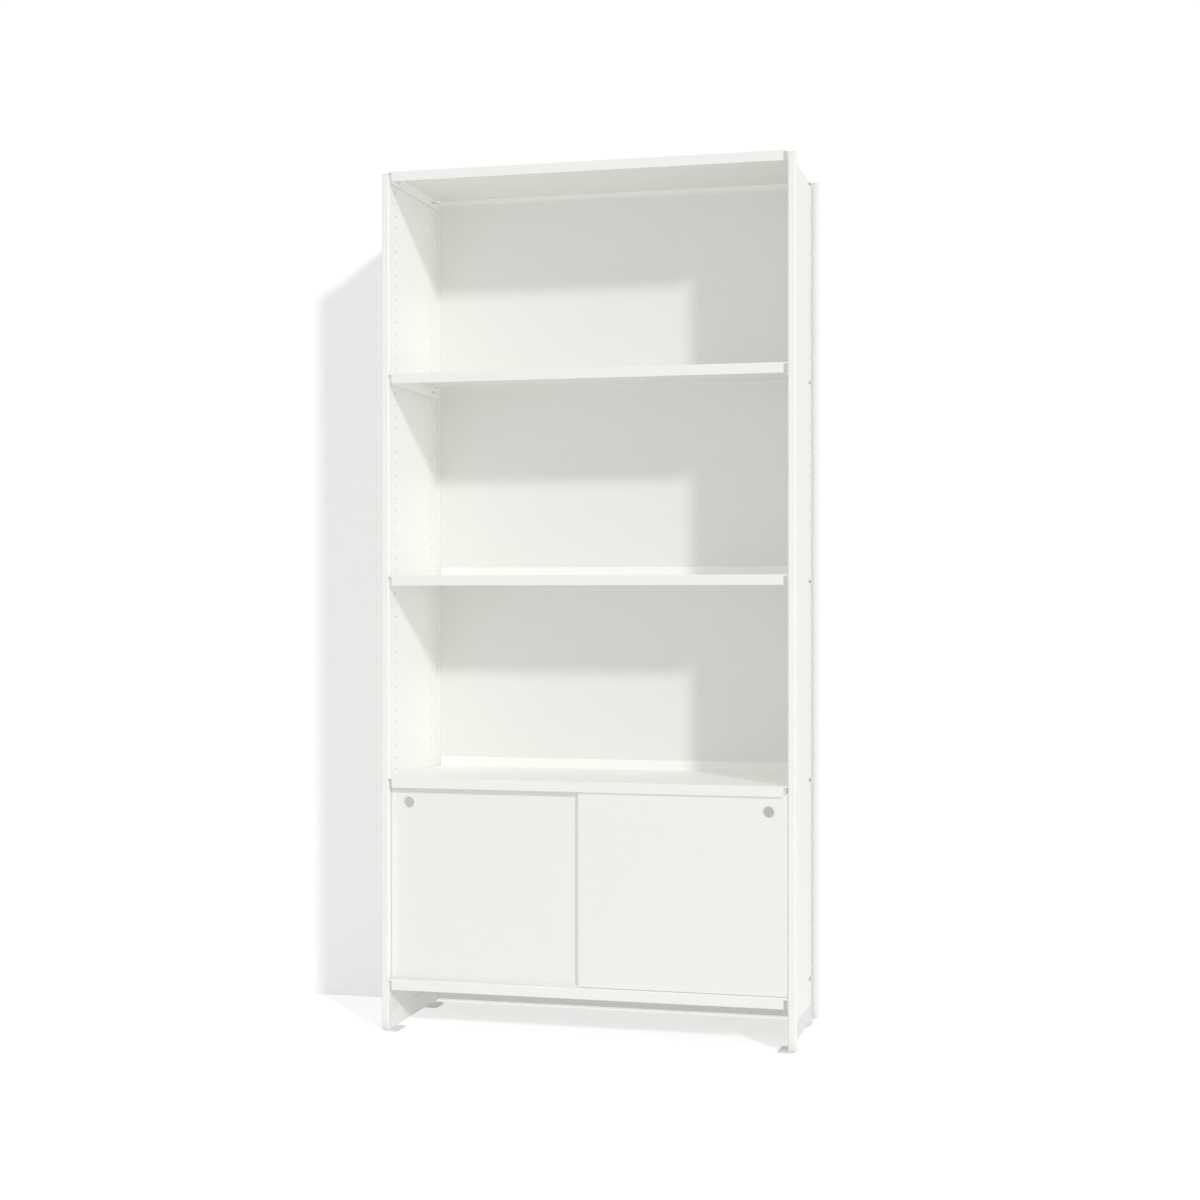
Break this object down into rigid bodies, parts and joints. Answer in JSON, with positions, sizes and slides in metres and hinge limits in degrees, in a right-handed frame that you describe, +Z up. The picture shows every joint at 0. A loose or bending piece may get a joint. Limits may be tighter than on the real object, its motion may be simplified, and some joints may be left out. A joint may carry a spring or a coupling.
{
  "type": "bookcase with cabinet doors",
  "caption": "Tall open bookcase of folded, enamelled sheet steel on flat foot plates, with perforated side frames, tray shelves and a low cabinet closed by sliding doors.",
  "frame": {"origin": "on the floor under the middle of the bookcase, at the centre of the bounding box's base", "axes": "+Z up, +Y towards the back, so the open front and the doors face -Y, and +X to the right as seen from the front"},
  "size_m": [1.056, 0.4, 2.172],
  "materials": {
    "frame_enamel": "warm white powder coat, satin",
    "shelf_enamel": "warm white powder coat, satin",
    "back_enamel": "warm white powder coat, satin",
    "door_enamel": "warm white powder coat, satin",
    "track_aluminium": "natural anodised extrusion",
    "foot_plate_steel": "plain grey coat, matt",
    "runner_nylon": "moulded nylon, matt",
    "shelf_pin_steel": "blackened steel, satin"
  },
  "bodies": {
    "carcass": {"left_front_post": "frame_enamel", "left_rear_post": "frame_enamel", "left_front_post_cap": "frame_enamel", "left_rear_post_cap": "frame_enamel", "left_side_sheet": "frame_enamel", "left_base_rail": "frame_enamel", "right_front_post": "frame_enamel", "right_rear_post": "frame_enamel", "right_front_post_cap": "frame_enamel", "right_rear_post_cap": "frame_enamel", "right_side_sheet": "frame_enamel", "right_base_rail": "frame_enamel", "left_front_foot_plate": "foot_plate_steel", "left_rear_foot_plate": "foot_plate_steel", "right_front_foot_plate": "foot_plate_steel", "right_rear_foot_plate": "foot_plate_steel", "cabinet_floor_shelf": "shelf_enamel", "cabinet_top_shelf": "shelf_enamel", "middle_shelf": "shelf_enamel", "upper_shelf": "shelf_enamel", "top_shelf": "shelf_enamel", "plinth_back_panel": "back_enamel", "cabinet_back_panel": "back_enamel", "lower_back_panel": "back_enamel", "middle_back_panel": "back_enamel", "upper_back_panel": "back_enamel", "cabinet_floor_shelf_left_front_pin": "shelf_pin_steel", "cabinet_floor_shelf_left_rear_pin": "shelf_pin_steel", "cabinet_floor_shelf_right_front_pin": "shelf_pin_steel", "cabinet_floor_shelf_right_rear_pin": "shelf_pin_steel", "cabinet_top_shelf_left_front_pin": "shelf_pin_steel", "cabinet_top_shelf_left_rear_pin": "shelf_pin_steel", "cabinet_top_shelf_right_front_pin": "shelf_pin_steel", "cabinet_top_shelf_right_rear_pin": "shelf_pin_steel", "middle_shelf_left_front_pin": "shelf_pin_steel", "middle_shelf_left_rear_pin": "shelf_pin_steel", "middle_shelf_right_front_pin": "shelf_pin_steel", "middle_shelf_right_rear_pin": "shelf_pin_steel", "upper_shelf_left_front_pin": "shelf_pin_steel", "upper_shelf_left_rear_pin": "shelf_pin_steel", "upper_shelf_right_front_pin": "shelf_pin_steel", "upper_shelf_right_rear_pin": "shelf_pin_steel", "top_shelf_left_front_pin": "shelf_pin_steel", "top_shelf_left_rear_pin": "shelf_pin_steel", "top_shelf_right_front_pin": "shelf_pin_steel", "top_shelf_right_rear_pin": "shelf_pin_steel", "door_top_track": "track_aluminium", "door_bottom_track": "track_aluminium"},
    "left_door": {"left_door": "door_enamel", "left_door_outer_shoe": "runner_nylon", "left_door_outer_guide": "runner_nylon", "left_door_inner_shoe": "runner_nylon", "left_door_inner_guide": "runner_nylon"},
    "right_door": {"right_door": "door_enamel", "right_door_outer_shoe": "runner_nylon", "right_door_outer_guide": "runner_nylon", "right_door_inner_shoe": "runner_nylon", "right_door_inner_guide": "runner_nylon"}
  },
  "joints": [
    {"name": "left_door_slide", "type": "slide", "parent": "carcass", "child": "left_door", "axis": [1, 0, 0], "range_m": [0, 0.491]},
    {"name": "right_door_slide", "type": "slide", "parent": "carcass", "child": "right_door", "axis": [1, 0, 0], "range_m": [-0.491, 0]}
  ]
}
